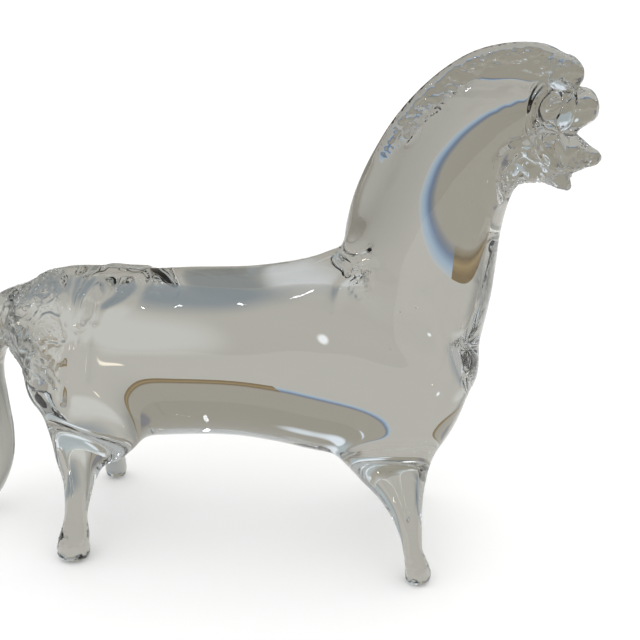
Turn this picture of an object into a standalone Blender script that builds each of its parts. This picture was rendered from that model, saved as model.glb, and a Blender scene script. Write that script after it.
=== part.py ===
"""A clear crystal horse, hot-worked from one gather of glass: a solid barrel, four pulled legs on
knob feet, an arched neck with a ribbon of glass laid along its crest, an open-mouthed head and a
hanging tail. It stands along X with its head at +X, and its feet are ground flat at Z = 0."""

import math

import bmesh
import bpy
import numpy as np
from mathutils import Matrix, Vector

# Driving sizes, in metres.
HEIGHT = 0.232  # floor to the crest of the neck
BARREL_WIDTH = 0.063  # across the widest part of the body
NECK_WIDTH = 0.041  # across the middle of the neck
MANE_WIDTH = 0.0183  # of the ribbon laid along the crest, seen from the side
MANE_THICKNESS = 0.0160  # of the same ribbon, from side to side
TAIL_THICKNESS = 0.018  # at the middle of the tail
HIND_STANCE = 0.081  # between the centres of the two hind feet
FORE_STANCE = 0.082  # between the centres of the two fore feet
FOOT_GRIND = 0.0010  # ground off each knob foot, which leaves its flat

# The finish of the solid.
VOXEL = 0.0016  # grid on which the gathers are fused
FLOW = 0.0068  # how far the fire polish rounds a hollow between two gathers
TRIANGLES = 8000  # facets of the finished solid
RING_SIDES = 40
RING_STEP = 0.003  # along a gather, between two of its rings
DOME_RINGS = 5  # from the last ring of a gather to its tip

# The drawing is 232 units high, so that a unit is a millimetre. Its X runs from tail to muzzle.
DRAWING_UNITS = 232
MM = HEIGHT / DRAWING_UNITS

# Barrel, upright sections: x, back line, widest line, belly line, share of its half width.
BARREL = [
    (-150, 107, 102, 96.5, 0.28),
    (-145, 112.5, 101, 88.5, 0.52),
    (-137, 120, 99, 77, 0.75),
    (-127, 127, 97, 64, 0.90),
    (-114, 128.8, 95, 53, 0.98),
    (-98, 128.6, 94, 47.6, 1.00),
    (-78, 128.8, 92.5, 47.4, 0.99),
    (-58, 130.1, 91.5, 49.2, 0.97),
    (-38, 131.4, 91, 49.8, 0.96),
    (-18, 133.8, 90.5, 47.5, 0.97),
    (-4, 137.2, 89.5, 44.6, 0.97),
    (8, 141.6, 87.5, 43.2, 0.96),
    (24, 137, 83, 42, 0.95),
    (40, 130, 75, 42, 0.92),
    (54, 121, 72, 47, 0.80),
    (63.4, 112, 76, 62, 0.60),
    (69.2, 104, 88, 79, 0.36),
]
# Neck, sections across its own line: x, z, half depth, share of the neck's half width.
NECK = [
    (20, 70, 30, 1.22),
    (28, 88, 38.5, 1.30),
    (35.2, 108, 38.2, 1.21),
    (42.8, 128, 35.3, 1.10),
    (47.8, 147, 31.3, 1.04),
    (51.7, 164, 28.7, 0.975),
    (57.8, 181, 27.9, 0.90),
    (67.8, 194.6, 24.6, 0.80),
    (80, 203.5, 20.5, 0.66),
    (92, 206, 15.5, 0.46),
    (101, 206, 10, 0.30),
]
# Mane, a ribbon along the crest: x, z, share of its half width, share of its half thickness.
MANE = [
    (8, 133, 0.60, 0.62),
    (16.3, 141, 0.76, 0.80),
    (19.6, 152, 0.90, 0.95),
    (23.6, 164.6, 0.99, 1.02),
    (30.6, 179.4, 1.05, 1.04),
    (40, 194.8, 1.07, 1.04),
    (52.2, 208.7, 1.05, 1.00),
    (66.2, 218.9, 1.01, 0.96),
    (81, 222.9, 0.97, 0.92),
    (93, 222.6, 0.88, 0.84),
    (100.4, 217.4, 0.72, 0.70),
]
# Hind leg: x, z, half depth, half width, and where it lies between the hip (0) and the foot (1).
HIND_LEG = [
    (-113, 94, 30, 11, 0.00),
    (-106.6, 77, 31.8, 17, 0.11),
    (-104.6, 62, 27.2, 15, 0.18),
    (-107.6, 50, 21.2, 11, 0.30),
    (-109.9, 42, 13.3, 8.8, 0.42),
    (-109.7, 33, 7.6, 7.2, 0.59),
    (-109.5, 25, 5.8, 6.0, 0.75),
    (-109.6, 19, 5.3, 5.7, 0.84),
    (-109.5, 13, 6.5, 6.5, 0.92),
    (-110, 7.5, 7.7, 7.5, 0.98),
    (-110.2, 3, 7.9, 7.6, 1.00),
]
# Fore leg, in the same terms.
FORE_LEG = [
    (28, 92, 26, 9, 0.00),
    (30, 74, 28, 10.5, 0.02),
    (32.8, 58, 29.2, 9, 0.06),
    (36.3, 46, 20.0, 9, 0.24),
    (39.9, 36.5, 11.8, 8.4, 0.47),
    (43.2, 27.5, 7.0, 6.8, 0.69),
    (45.6, 19, 5.0, 5.6, 0.84),
    (46.6, 13, 4.5, 5.0, 0.92),
    (48.6, 7.3, 5.7, 5.8, 0.98),
    (49.3, 3, 6.2, 6.2, 1.00),
]
HIP_SHARE = 0.22  # of the stance, between the two legs where they start inside the body
FAR_HIND_SHIFT = -4.2  # the far hind foot stands this far behind the near one
FAR_FORE_SHIFT = -11.0  # and the far fore foot this far behind its own
FAR_HIND_SLIM = 0.74  # the far hind foot is pulled thinner than the others

# Tail: x, z, half depth and half width as shares of half the tail's thickness.
TAIL = [
    (-128, 106, 1.7, 1.7),
    (-140, 105.5, 1.55, 1.6),
    (-150, 101, 1.28, 1.40),
    (-157.6, 91.5, 1.04, 1.20),
    (-161.4, 78, 0.93, 1.05),
    (-161.6, 62, 1.00, 1.00),
    (-160.6, 45, 1.02, 1.00),
    (-161.6, 30, 0.97, 0.95),
    (-164.8, 17, 0.79, 0.80),
    (-168.5, 7, 0.52, 0.56),
]

# Head: each gather is a list of x, z, half depth, half width.
MUZZLE = [
    (90, 207, 12, 9.5),
    (99, 206, 10.4, 7.6),
    (105.5, 205.4, 9.2, 8.6),
    (110.5, 206.8, 7.6, 8.0),
]
CHEEK = [
    (80, 185.5, 11, 11),
    (88, 186.3, 13.3, 13),
    (96, 187, 12.0, 11.5),
]
JAW = [
    (92, 186, 11, 10.5),
    (101, 186.8, 9.4, 9.0),
    (108, 186, 7.9, 7.4),
    (114.2, 185.2, 4.0, 5.4),
]
BEARD = [
    (97, 180, 6.5, 6.5),
    (102.6, 174.8, 4.8, 4.6),
    (106.4, 171, 2.5, 2.8),
]
# Each ear: x, distance from the middle plane, z, half length, half width.
EAR = (101.3, 4.6, 220.2, 7.4, 5.6)
HEAD_MIDDLE = (104, 0, 198)

# Depths of the round ends of each gather, at its start and at its end.
ROUND_ENDS = {
    "barrel": (3, 4),
    "neck": (10, 5),
    "mane": (5, 3),
    "tail": (4, 3),
    "leg": (10, 4),
    "muzzle": (5, 5.4),
    "cheek": (5, 6),
    "jaw": (5, 4.6),
    "beard": (5, 2),
}
# Powers of a ring's outline: 2 is an ellipse, and more is flatter in its sides.
RING_POWERS = {"round": 2.0, "ribbon": 4.0}
# The neck narrows towards its crest like a wedge. Shares of the half depth: how far the crest side
# reaches, and how far the widest line lies towards the throat, or towards the crest below zero.
# Shares of the half width: what is left of it at the crest, and how softly the taper starts.
NECK_SHARES = {"crest": 1.04, "lean": -0.04, "wedge": 0.38, "soft": 0.22}
# The ribbon reaches this much deeper into the neck than it stands out, and lies off the middle
# plane towards the far side.
RIBBON_SEAT = {"root": 4.0, "shift": 1.5}


def through(stations, spacing):
    """A Catmull-Rom curve through the stations, in all of their values at once."""
    p = np.array(stations, float)
    p = np.vstack([2 * p[0] - p[1], p, 2 * p[-1] - p[-2]])
    rows = []
    for a, b, c, d in zip(p, p[1:], p[2:], p[3:]):
        count = max(2, math.ceil(np.linalg.norm((c - b)[:3]) / spacing))
        t = np.arange(count)[:, None] / count
        rows.append(
            b
            + 0.5 * (c - a) * t
            + (a - 2.5 * b + 2 * c - 0.5 * d) * t**2
            + (1.5 * (b - c) + 0.5 * (d - a)) * t**3
        )
    rows.append(p[-2:-1])
    return np.vstack(rows)


def domed(rows, tangents, start, end):
    """Adds shrinking rings past both ends, so that a gather ends in domes of those depths."""
    turn = np.linspace(0, math.pi / 2, DOME_RINGS + 1)[1:-1]
    caps = []
    for depth, ring, way in ((start, rows[0], -tangents[0]), (end, rows[-1], tangents[-1])):
        centres = ring[:3] + depth * np.sin(turn)[:, None] * way
        caps.append(np.hstack([centres, np.cos(turn)[:, None] * ring[3:]]))
    tangents = np.vstack([
        np.repeat(tangents[:1], len(turn), axis=0),
        tangents,
        np.repeat(tangents[-1:], len(turn), axis=0),
    ])
    return np.vstack([caps[0][::-1], rows, caps[1]]), tangents


def gather(bm, name, stations, upright=False, outline="round", taper=None):
    """Adds one closed gather of glass, a loft through rings of x, y, z, depth below and above the
    middle, and half width. The rings are square to the line of their middles, or upright. With a
    taper, their upper side narrows evenly."""
    rows = through([row[:4] + row[-2:] for row in stations], RING_STEP)
    tangents = np.tile([1.0, 0.0, 0.0], (len(rows), 1))
    if not upright:
        tangents = np.gradient(rows[:, :3], axis=0)
        tangents /= np.linalg.norm(tangents, axis=1)[:, None]
    start, end = ROUND_ENDS[name]
    rows, tangents = domed(rows, tangents, start * MM, end * MM)
    across = np.array([0.0, 1.0, 0.0]) - tangents * tangents[:, 1:2]
    across /= np.linalg.norm(across, axis=1)[:, None]
    down = np.cross(across, tangents)
    turn = np.arange(RING_SIDES) * math.tau / RING_SIDES
    cosine, sine = np.cos(turn), np.sin(turn)
    power = RING_POWERS[outline]
    deep = np.sign(cosine) * np.abs(cosine) ** (2 / power)
    wide = np.sign(sine) * np.abs(sine) ** (2 / power)
    sunk = 0.0
    if taper:
        soft, left = taper["soft"], 1 + taper["soft"] - taper["wedge"]
        narrow = 1 + soft - np.sqrt(soft**2 + (left**2 - soft**2) * cosine**2)
        wide = np.where(cosine < 0, np.sign(sine) * narrow, wide)
        deep = np.where(cosine < 0, cosine, deep)
        sunk = taper["lean"] * rows[:, 3:4]
    depth = np.where(cosine > 0, rows[:, 3:4] - sunk, rows[:, 4:5] + sunk)
    rings = (
        rows[:, None, :3]
        + down[:, None] * (sunk + depth * deep)[:, :, None]
        + across[:, None] * rows[:, None, 5:6] * wide[None, :, None]
    )
    corners = [[bm.verts.new(point) for point in ring] for ring in rings]
    for ring, following in zip(corners, corners[1:]):
        for i in range(RING_SIDES):
            j = (i + 1) % RING_SIDES
            bm.faces.new((ring[i], ring[j], following[j], following[i]))
    bm.faces.new(corners[0][::-1])
    bm.faces.new(corners[-1])


def barrel(bm):
    half = BARREL_WIDTH / 2
    stations = [
        (x * MM, 0, widest * MM, (widest - belly) * MM, (back - widest) * MM, share * half)
        for x, back, widest, belly, share in BARREL
    ]
    gather(bm, "barrel", stations, upright=True)


def neck(bm):
    half = NECK_WIDTH / 2
    crest = NECK_SHARES["crest"]
    stations = [
        (x * MM, 0, z * MM, depth * MM, crest * depth * MM, share * half)
        for x, z, depth, share in NECK
    ]
    gather(bm, "neck", stations, taper=NECK_SHARES)


def mane(bm):
    root, shift = RIBBON_SEAT["root"] * MM, RIBBON_SEAT["shift"] * MM
    stations = []
    for x, z, wide, thick in MANE:
        out = wide * MANE_WIDTH / 2
        stations.append((x * MM, shift, z * MM, root + out, out, thick * MANE_THICKNESS / 2))
    gather(bm, "mane", stations, outline="ribbon")


def tail(bm):
    half = TAIL_THICKNESS / 2
    stations = [(x * MM, 0, z * MM, deep * half, wide * half) for x, z, deep, wide in TAIL]
    gather(bm, "tail", stations)


def leg(bm, drawing, stance, side, shift, slim):
    """One leg, splayed out from the hip to its own foot, and thinner towards it where slim is
    below 1."""
    stations = []
    for x, z, depth, width, out in drawing:
        y = side * stance / 2 * (HIP_SHARE + (1 - HIP_SHARE) * out)
        size = MM * (1 - (1 - slim) * min(1, 2 * out))
        stations.append(((x + shift * out) * MM, y, z * MM, depth * size, width * size))
    gather(bm, "leg", stations)


def head(bm):
    for name, drawing in (("muzzle", MUZZLE), ("cheek", CHEEK), ("jaw", JAW), ("beard", BEARD)):
        stations = [(x * MM, 0, z * MM, deep * MM, wide * MM) for x, z, deep, wide in drawing]
        gather(bm, name, stations)
    x, spread, z, long, wide = EAR
    for side in (-1, 1):
        place = Matrix.Translation(Vector((x, side * spread, z)) * MM)
        shape = Matrix.Diagonal((long * MM, wide * MM, long * MM, 1))
        bmesh.ops.create_uvsphere(bm, u_segments=24, v_segments=16, radius=1, matrix=place @ shape)


def smoothstep(low, high, value):
    t = np.clip((value - low) / (high - low), 0, 1)
    return t * t * (3 - 2 * t)


def flow_weights(mesh):
    """How freely each spot flowed in the fire: fully on the body, less on the mane and the tail,
    and hardly at all on thin legs and the head."""
    spots = np.array([vertex.co for vertex in mesh.vertices]) / MM
    off_feet = smoothstep(30, 62, spots[:, 2])
    off_head = smoothstep(18, 36, np.linalg.norm(spots - HEAD_MIDDLE, axis=1))
    off_tail = 0.15 + 0.85 * smoothstep(-162, -142, spots[:, 0])
    crest = through(MANE[1:], 2.0)[:, :2]
    from_crest = np.hypot(np.linalg.norm(spots[:, None, ::2] - crest, axis=2).min(1), spots[:, 1])
    off_mane = 0.20 + 0.80 * smoothstep(8, 17, from_crest)
    return np.clip(off_feet * off_head, 0.05, 1) * off_tail * off_mane


def bake(obj):
    """Applies the modifiers of an object, as a menu command would."""
    bpy.context.view_layer.update()
    evaluated = obj.evaluated_get(bpy.context.evaluated_depsgraph_get())
    mesh = bpy.data.meshes.new_from_object(evaluated)
    obj.modifiers.clear()
    obj.data = mesh


def fuse(horse):
    """Melts the overlapping gathers into one skin."""
    remesh = horse.modifiers.new("fuse", "REMESH")
    remesh.mode = "VOXEL"
    remesh.voxel_size = VOXEL
    bake(horse)


def fire_polish(horse):
    """Lets the hollows between the gathers fill and their edges round off."""
    group = horse.vertex_groups.new(name="flow")
    for index, weight in enumerate(flow_weights(horse.data)):
        group.add([index], float(weight), "REPLACE")
    polish = horse.modifiers.new("fire_polish", "SMOOTH")
    polish.factor = 0.5
    polish.iterations = round(4 * (FLOW / VOXEL) ** 2)
    polish.vertex_group = group.name
    facets = horse.modifiers.new("facets", "DECIMATE")
    facets.ratio = TRIANGLES / (2 * len(horse.data.polygons))
    bake(horse)


def stand(horse):
    """Puts the origin under the middle of the horse, with its feet sunk by what is ground off."""
    spots = np.array([vertex.co for vertex in horse.data.vertices])
    low = spots.min(0)
    high = spots.max(0)
    under = Vector(((low[0] + high[0]) / 2, (low[1] + high[1]) / 2, low[2] + FOOT_GRIND))
    horse.data.transform(Matrix.Translation(-under))


def grind_feet(horse, cutters):
    """Cuts away all that lies below the floor, with a block whose top is the floor."""
    size = 2 * HEIGHT
    bpy.ops.mesh.primitive_cube_add(size=size, location=(0, 0, -size / 2))
    block = bpy.context.object
    block.name = "grinding_plane"
    block.hide_render = True
    block.display_type = "WIRE"
    for owner in list(block.users_collection):
        owner.objects.unlink(block)
    cutters.objects.link(block)
    grind = horse.modifiers.new("grind_feet", "BOOLEAN")
    grind.operation = "DIFFERENCE"
    grind.object = block


def crystal():
    material = bpy.data.materials.new("clear_crystal")
    material.use_nodes = True
    shader = material.node_tree.nodes["Principled BSDF"]
    shader.inputs["Base Color"].default_value = (0.93, 0.94, 0.92, 1)
    shader.inputs["Metallic"].default_value = 0.0
    shader.inputs["Roughness"].default_value = 0.02
    shader.inputs["IOR"].default_value = 1.52
    shader.inputs["Transmission Weight"].default_value = 1.0
    return material


def build():
    for obj in list(bpy.data.objects):
        bpy.data.objects.remove(obj)
    parts = bpy.data.collections.new("crystal_horse_sculpture")
    cutters = bpy.data.collections.new("cutters")
    for collection in (parts, cutters):
        bpy.context.scene.collection.children.link(collection)

    bm = bmesh.new()
    barrel(bm)
    neck(bm)
    mane(bm)
    tail(bm)
    head(bm)
    leg(bm, HIND_LEG, HIND_STANCE, -1, 0, 1)
    leg(bm, HIND_LEG, HIND_STANCE, 1, FAR_HIND_SHIFT, FAR_HIND_SLIM)
    leg(bm, FORE_LEG, FORE_STANCE, -1, 0, 1)
    leg(bm, FORE_LEG, FORE_STANCE, 1, FAR_FORE_SHIFT, 1)
    mesh = bpy.data.meshes.new("crystal_horse")
    bm.to_mesh(mesh)
    bm.free()
    horse = bpy.data.objects.new("crystal_horse", mesh)
    parts.objects.link(horse)

    fuse(horse)
    fire_polish(horse)
    stand(horse)
    grind_feet(horse, cutters)
    horse.data.shade_smooth()
    horse.data.materials.clear()
    horse.data.materials.append(crystal())


build()
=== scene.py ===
# %% [markdown]
# # A clear crystal horse
# The object is one piece of solid glass, pulled and pinched into a horse while it was hot. The lesson
# models its skin finely enough for light to bend through it as it does in the real one, gives it clear
# crystal, seals a few air seeds in it, and sets it on a pale floor in a plain studio.
#
# Every length in the drawing is in millimetres, in the horse's own frame: X from tail to muzzle, Y
# across the body, Z up from the floor. The loaded frame gives the solid model's place and box.

# %% The frame
import math

import bmesh
import bpy
import numpy as np
from mathutils import Matrix, Vector


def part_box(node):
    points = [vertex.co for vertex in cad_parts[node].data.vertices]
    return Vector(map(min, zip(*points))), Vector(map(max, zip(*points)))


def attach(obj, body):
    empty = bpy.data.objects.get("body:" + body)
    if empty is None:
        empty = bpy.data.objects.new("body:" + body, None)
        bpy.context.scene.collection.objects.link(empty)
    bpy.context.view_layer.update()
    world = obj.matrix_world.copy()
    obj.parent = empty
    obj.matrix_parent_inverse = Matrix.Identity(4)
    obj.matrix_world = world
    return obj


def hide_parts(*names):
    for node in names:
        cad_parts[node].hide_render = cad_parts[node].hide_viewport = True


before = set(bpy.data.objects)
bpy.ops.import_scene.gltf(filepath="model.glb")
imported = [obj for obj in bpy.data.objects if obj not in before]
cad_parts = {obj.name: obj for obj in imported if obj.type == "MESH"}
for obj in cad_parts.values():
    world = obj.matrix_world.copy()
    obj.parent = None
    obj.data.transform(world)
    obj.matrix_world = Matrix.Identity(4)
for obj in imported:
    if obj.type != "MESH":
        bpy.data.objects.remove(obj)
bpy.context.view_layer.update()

MM = 0.001
HORSE_NODE = "crystal_horse"
HORSE_LOW, HORSE_HIGH = (np.array(corner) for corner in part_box(HORSE_NODE))
print("the solid's box, mm:", (HORSE_LOW / MM).round(1), (HORSE_HIGH / MM).round(1))

# %% Colours and nodes
def linear(hex_colour):
    """An sRGB hex colour as the linear red, green, blue and alpha that shaders want."""
    channels = [int(hex_colour[i:i + 2], 16) / 255 for i in (1, 3, 5)]
    return [c / 12.92 if c <= 0.04045 else ((c + 0.055) / 1.055) ** 2.4 for c in channels] + [1.0]


def add_node(tree, kind, feeds=(), **settings):
    """Adds a node, sets its properties, and feeds its inputs with sockets or plain values."""
    node = tree.nodes.new(kind)
    for name, value in settings.items():
        setattr(node, name, value)
    for source, target in feeds:
        if isinstance(source, bpy.types.NodeSocket):
            tree.links.new(source, node.inputs[target])
        else:
            node.inputs[target].default_value = source
    return node


# %% [markdown]
# ## The drawing
# A glassworker starts from a barrel of glass and pulls or adds each limb. The same gathers are drawn
# here as stations along each limb: where its middle runs and how thick it is. The stations are those
# of the solid, so the fine skin fills the same box.

# %% Stations of the body, the neck and the mane
BARREL_WIDTH = 63
NECK_WIDTH = 41
MANE_WIDTH = 18.3
MANE_THICKNESS = 16.0
TAIL_THICKNESS = 18
HIND_STANCE = 81
FORE_STANCE = 82
FOOT_GRIND = 1.0

# x, back line, widest line, belly line, share of the barrel's half width
BARREL = [
    (-150, 107, 102, 96.5, 0.28),
    (-145, 112.5, 101, 88.5, 0.52),
    (-137, 120, 99, 77, 0.75),
    (-127, 127, 97, 64, 0.90),
    (-114, 128.8, 95, 53, 0.98),
    (-98, 128.6, 94, 47.6, 1.00),
    (-78, 128.8, 92.5, 47.4, 0.99),
    (-58, 130.1, 91.5, 49.2, 0.97),
    (-38, 131.4, 91, 49.8, 0.96),
    (-18, 133.8, 90.5, 47.5, 0.97),
    (-4, 137.2, 89.5, 44.6, 0.97),
    (8, 141.6, 87.5, 43.2, 0.96),
    (24, 137, 83, 42, 0.95),
    (40, 130, 75, 42, 0.92),
    (54, 121, 72, 47, 0.80),
    (63.4, 112, 76, 62, 0.60),
    (69.2, 104, 88, 79, 0.36),
]
# x, z, half depth, share of the neck's half width
NECK = [
    (20, 70, 30, 1.22),
    (28, 88, 38.5, 1.30),
    (35.2, 108, 38.2, 1.21),
    (42.8, 128, 35.3, 1.10),
    (47.8, 147, 31.3, 1.04),
    (51.7, 164, 28.7, 0.975),
    (57.8, 181, 27.9, 0.90),
    (67.8, 194.6, 24.6, 0.80),
    (80, 203.5, 20.5, 0.66),
    (92, 206, 15.5, 0.46),
    (101, 206, 10, 0.30),
]
# x, z, share of the mane's half width, share of its half thickness
MANE = [
    (8, 133, 0.60, 0.62),
    (16.3, 141, 0.76, 0.80),
    (19.6, 152, 0.90, 0.95),
    (23.6, 164.6, 0.99, 1.02),
    (30.6, 179.4, 1.05, 1.04),
    (40, 194.8, 1.07, 1.04),
    (52.2, 208.7, 1.05, 1.00),
    (66.2, 218.9, 1.01, 0.96),
    (81, 222.9, 0.97, 0.92),
    (93, 222.6, 0.88, 0.84),
    (100.4, 217.4, 0.72, 0.70),
]

# %% Stations of the legs and the tail
# x, z, half depth, half width, and where it lies between the hip (0) and the foot (1)
HIND_LEG = [
    (-113, 94, 30, 11, 0.00),
    (-106.6, 77, 31.8, 17, 0.11),
    (-104.6, 62, 27.2, 15, 0.18),
    (-107.6, 50, 21.2, 11, 0.30),
    (-109.9, 42, 13.3, 8.8, 0.42),
    (-109.7, 33, 7.6, 7.2, 0.59),
    (-109.5, 25, 5.8, 6.0, 0.75),
    (-109.6, 19, 5.3, 5.7, 0.84),
    (-109.5, 13, 6.5, 6.5, 0.92),
    (-110, 7.5, 7.7, 7.5, 0.98),
    (-110.2, 3, 7.9, 7.6, 1.00),
]
FORE_LEG = [
    (28, 92, 26, 9, 0.00),
    (30, 74, 28, 10.5, 0.02),
    (32.8, 58, 29.2, 9, 0.06),
    (36.3, 46, 20.0, 9, 0.24),
    (39.9, 36.5, 11.8, 8.4, 0.47),
    (43.2, 27.5, 7.0, 6.8, 0.69),
    (45.6, 19, 5.0, 5.6, 0.84),
    (46.6, 13, 4.5, 5.0, 0.92),
    (48.6, 7.3, 5.7, 5.8, 0.98),
    (49.3, 3, 6.2, 6.2, 1.00),
]
# power of a ring's outline: 2 is an ellipse, more is flatter in its sides
ROUND = 2.0
RIBBON = 4.0
WEDGE = 0.38  # the neck's width at the top of the crest, as a share of its width
WEDGE_ROUND = 0.22  # how softly its sides bend in at the widest line
CREST_SHARE = 1.04  # of the neck's half depth, on the side of the crest
NECK_LEAN = -0.04  # where its widest line lies, as a share of the half depth: below 0 nearer the crest
NECK_EASE = 90  # rounds of evening for the neck's curve
MANE_ROOT = 4.0  # how much deeper the ribbon reaches into the neck than it stands out
MANE_SHIFT = 1.5  # towards the far side
HIP_SHARE = 0.22  # of the stance, where a leg starts inside the body
FAR_HIND_SHIFT = -4.2  # the far hind foot stands this far behind the near one
FAR_FORE_SHIFT = -11.0
FAR_HIND_SLIM = 0.74
# x, z, half depth and half width as shares of half the tail's thickness
TAIL = [
    (-128, 106, 1.7, 1.7),
    (-140, 105.5, 1.55, 1.6),
    (-150, 101, 1.28, 1.40),
    (-157.6, 91.5, 1.04, 1.20),
    (-161.4, 78, 0.93, 1.05),
    (-161.6, 62, 1.00, 1.00),
    (-160.6, 45, 1.02, 1.00),
    (-161.6, 30, 0.97, 0.95),
    (-164.8, 17, 0.79, 0.80),
    (-168.5, 7, 0.52, 0.56),
]

# %% Stations of the head
# each gather is a list of x, z, half depth, half width
MUZZLE = [
    (90, 207, 12, 9.5),
    (99, 206, 10.4, 7.6),
    (105.5, 205.4, 9.2, 8.6),
    (110.5, 206.8, 7.6, 8.0),
]
CHEEK = [
    (80, 185.5, 11, 11),
    (88, 186.3, 13.3, 13),
    (96, 187, 12.0, 11.5),
]
JAW = [
    (92, 186, 11, 10.5),
    (101, 186.8, 9.4, 9.0),
    (108, 186, 7.9, 7.4),
    (114.2, 185.2, 4.0, 5.4),
]
BEARD = [
    (97, 180, 6.5, 6.5),
    (102.6, 174.8, 4.8, 4.6),
    (106.4, 171, 2.5, 2.8),
]
EAR = (101.3, 220.2, 7.4, 5.6)  # x, z, half length, half width
EAR_SPREAD = 4.6
HEAD_MIDDLE = (104, 0, 198)
# depth of the round end at the start and at the end of each gather
ROUND_ENDS = {
    "barrel": (3, 4),
    "neck": (10, 5),
    "mane": (5, 3),
    "tail": (4, 3),
    "leg": (10, 4),
    "muzzle": (5, 5.4),
    "cheek": (5, 6),
    "jaw": (5, 4.6),
    "beard": (5, 2),
}

# %% [markdown]
# ## One gather of glass
# A pulled limb is round or oval all along, and its thickness changes smoothly. A loft does that: rings
# square to the limb's middle line, joined to a closed tube with a dome at each end. A Catmull-Rom
# curve runs through the stations, so a few given stations give a smooth limb.

# %% Lofting a gather
RING_SIDES = 96
RING_STEP = 1.5
DOME_RINGS = 7


def through(stations, spacing):
    """A Catmull-Rom curve through the stations, in all of their values at once."""
    p = np.array(stations, float)
    p = np.vstack([2 * p[0] - p[1], p, 2 * p[-1] - p[-2]])
    rows = []
    for a, b, c, d in zip(p, p[1:], p[2:], p[3:]):
        count = max(2, math.ceil(np.linalg.norm((c - b)[:3]) / spacing))
        t = np.arange(count)[:, None] / count
        rows.append(
            b
            + 0.5 * (c - a) * t
            + (a - 2.5 * b + 2 * c - 0.5 * d) * t**2
            + (1.5 * (b - c) + 0.5 * (d - a)) * t**3
        )
    rows.append(p[-2:-1])
    return np.vstack(rows)


def domed(rows, tangents, start, end):
    """Adds shrinking rings past both ends, so that a gather ends in domes of those depths."""
    turn = np.linspace(0, math.pi / 2, DOME_RINGS + 1)[1:-1]
    caps = []
    for depth, ring, way in ((start, rows[0], -tangents[0]), (end, rows[-1], tangents[-1])):
        centres = ring[:3] + depth * np.sin(turn)[:, None] * way
        caps.append(np.hstack([centres, np.cos(turn)[:, None] * ring[3:]]))
    tangents = np.vstack([
        np.repeat(tangents[:1], len(turn), axis=0),
        tangents,
        np.repeat(tangents[-1:], len(turn), axis=0),
    ])
    return np.vstack([caps[0][::-1], rows, caps[1]]), tangents


def gather(bm, name, stations, upright=False, power=ROUND, lean=0.0, wedge=None, ease=0):
    """Adds one closed gather, a loft through rings of x, y, z, depth below, depth above, half width.

    Lean moves the widest line down by a share of the depth. A wedge narrows evenly on its upper side,
    to that share of its width. Easing evens out the bends of the curve where it passes a station.
    """
    stations = [row if len(row) == 6 else row[:3] + (row[3], row[3], row[4]) for row in stations]
    rows = through(stations, RING_STEP)
    for _ in range(ease):
        rows[1:-1] = (rows[:-2] + 2 * rows[1:-1] + rows[2:]) / 4
    tangents = np.tile([1.0, 0.0, 0.0], (len(rows), 1))
    if not upright:
        tangents = np.gradient(rows[:, :3], axis=0)
        tangents /= np.linalg.norm(tangents, axis=1)[:, None]
    rows, tangents = domed(rows, tangents, *ROUND_ENDS[name])
    across = np.array([0.0, 1.0, 0.0]) - tangents * tangents[:, 1:2]
    across /= np.linalg.norm(across, axis=1)[:, None]
    down = np.cross(across, tangents)
    turn = np.arange(RING_SIDES) * math.tau / RING_SIDES
    cosine, sine = np.cos(turn), np.sin(turn)
    deep = np.sign(cosine) * np.abs(cosine) ** (2 / power)
    wide = np.sign(sine) * np.abs(sine) ** (2 / power)
    if wedge:
        slope = (1 + WEDGE_ROUND - wedge) ** 2 - WEDGE_ROUND**2
        tapered = 1 + WEDGE_ROUND - np.sqrt(WEDGE_ROUND**2 + slope * cosine**2)
        wide = np.where(cosine < 0, np.sign(sine) * tapered, wide)
        deep = np.where(cosine < 0, cosine, deep)
    sunk = lean * rows[:, 3:4]
    depth = np.where(cosine > 0, rows[:, 3:4] - sunk, rows[:, 4:5] + sunk)
    rings = (
        rows[:, None, :3]
        + down[:, None] * (sunk + depth * deep)[:, :, None]
        + across[:, None] * rows[:, None, 5:6] * wide[None, :, None]
    )
    corners = [[bm.verts.new(point * MM) for point in ring] for ring in rings]
    for ring, following in zip(corners, corners[1:]):
        for i in range(RING_SIDES):
            j = (i + 1) % RING_SIDES
            bm.faces.new((ring[i], ring[j], following[j], following[i]))
    bm.faces.new(corners[0][::-1])
    bm.faces.new(corners[-1])


# %% Laying out every gather
def leg_stations(drawing, stance, side, shift, slim):
    """A leg splayed out from the hip to its own foot, and thinner towards it where slim is below 1."""
    stations = []
    for x, z, depth, width, out in drawing:
        y = side * stance / 2 * (HIP_SHARE + (1 - HIP_SHARE) * out)
        size = 1 - (1 - slim) * min(1, 2 * out)
        stations.append((x + shift * out, y, z, depth * size, width * size))
    return stations


def ears(bm):
    """Two small lobes of glass at the poll."""
    x, z, long, wide = EAR
    shape = Matrix.Diagonal((long * MM, wide * MM, long * MM, 1))
    for side in (-1, 1):
        place = Matrix.Translation(Vector((x, side * EAR_SPREAD, z)) * MM)
        bmesh.ops.create_uvsphere(bm, u_segments=40, v_segments=24, radius=1, matrix=place @ shape)


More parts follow.
